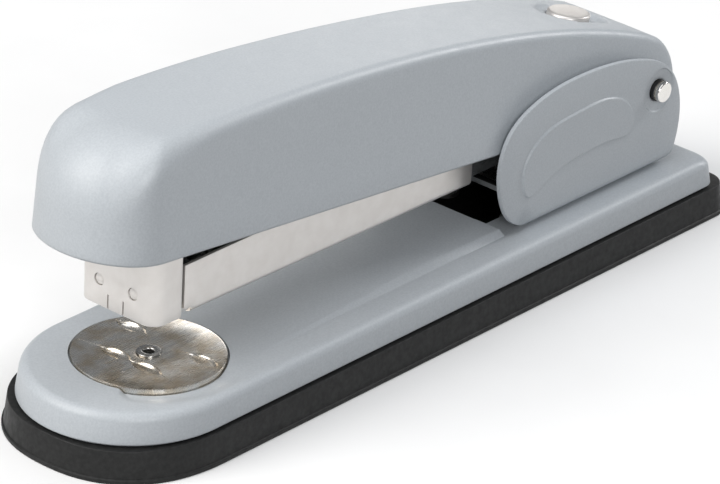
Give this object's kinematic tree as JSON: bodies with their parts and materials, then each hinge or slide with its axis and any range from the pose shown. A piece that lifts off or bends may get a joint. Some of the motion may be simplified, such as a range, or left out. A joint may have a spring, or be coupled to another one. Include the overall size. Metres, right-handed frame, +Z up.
{
  "type": "stapler",
  "caption": "Long desk stapler with a painted cap on a rear hinge, a bright staple rail with a front drawer, a turning anvil disc and a rear release button on a flared sole.",
  "frame": {"origin": "on the table, under the middle of the sole", "axes": "+X from the rear hinge to the nose, +Y to the side with the anvil's finger notch, +Z up"},
  "size_m": [0.1564, 0.0404, 0.0565],
  "materials": {
    "paint": "satin",
    "sole": "matte",
    "nickel": "satin",
    "bright": "polished",
    "steel": "satin",
    "spring": "satin",
    "moulded": "matte"
  },
  "bodies": {
    "base": {"base_sole": "sole", "base_plate": "paint", "hinge_bracket": "paint", "bracket_rivets": "steel", "hinge_pin": "bright", "pin_clips": "steel", "hinge_spacers": "steel", "lift_spring": "spring", "lift_spring_rivet": "steel"},
    "anvil": {"anvil_disc": "nickel", "anvil_rivet": "nickel", "anvil_washer": "steel"},
    "magazine": {"magazine_frame": "steel", "magazine_cover": "nickel", "latch_pin": "steel", "guide_rod": "steel", "rod_anchor": "moulded", "rod_stop": "steel", "pusher_spring": "spring", "handle_spring": "spring"},
    "latch": {"release_latch": "steel"},
    "drawer": {"staple_tray": "steel", "nose_plate": "nickel", "nose_rivets": "nickel"},
    "pusher": {"staple_pusher": "moulded"},
    "handle": {"cap_shell": "paint", "handle_frame": "steel", "cap_studs": "steel", "driver_blade": "steel", "blade_rivets": "steel", "button_spring": "spring"},
    "button": {"release_button": "bright", "button_retainer": "steel"}
  },
  "joints": [
    {"name": "anvil_turn", "type": "hinge", "parent": "base", "child": "anvil", "pos_m": [0.0535, 0, 0.0117], "axis": [0, 0, 1], "range_deg": [0, 180]},
    {"name": "magazine_tilt", "type": "hinge", "parent": "base", "child": "magazine", "pos_m": [-0.061, 0, 0.027], "axis": [0, 1, 0], "range_deg": [0, 4.6], "stiffness_Nm_per_rad": 2, "springref_deg": -6.88, "deforming": ["lift_spring"]},
    {"name": "handle_press", "type": "hinge", "parent": "magazine", "child": "handle", "pos_m": [-0.061, 0, 0.027], "axis": [0, 1, 0], "range_deg": [0, 4.2], "stiffness_Nm_per_rad": 2, "springref_deg": -5.73, "deforming": ["handle_spring"]},
    {"name": "drawer_slide", "type": "slide", "parent": "magazine", "child": "drawer", "axis": [-1, 0, 0], "range_m": [-0.1, 0]},
    {"name": "pusher_slide", "type": "slide", "parent": "magazine", "child": "pusher", "axis": [1, 0, 0], "range_m": [-0.08, 0], "stiffness_N_per_m": 15, "springref_m": 0.1, "deforming": ["pusher_spring"]},
    {"name": "button_press", "type": "slide", "parent": "handle", "child": "button", "axis": [0.3254, 0, -0.9456], "range_m": [0, 0.0015], "stiffness_N_per_m": 600, "springref_m": -0.002, "deforming": ["button_spring"]},
    {"name": "latch_pivot", "type": "hinge", "parent": "magazine", "child": "latch", "pos_m": [-0.0445, 0, 0.0332], "axis": [0, 1, 0], "range_deg": [-13.4, 0]}
  ],
  "couplings": [
    {"joint": "latch_pivot", "follows": "button_press", "rad_per_m": -155}
  ]
}
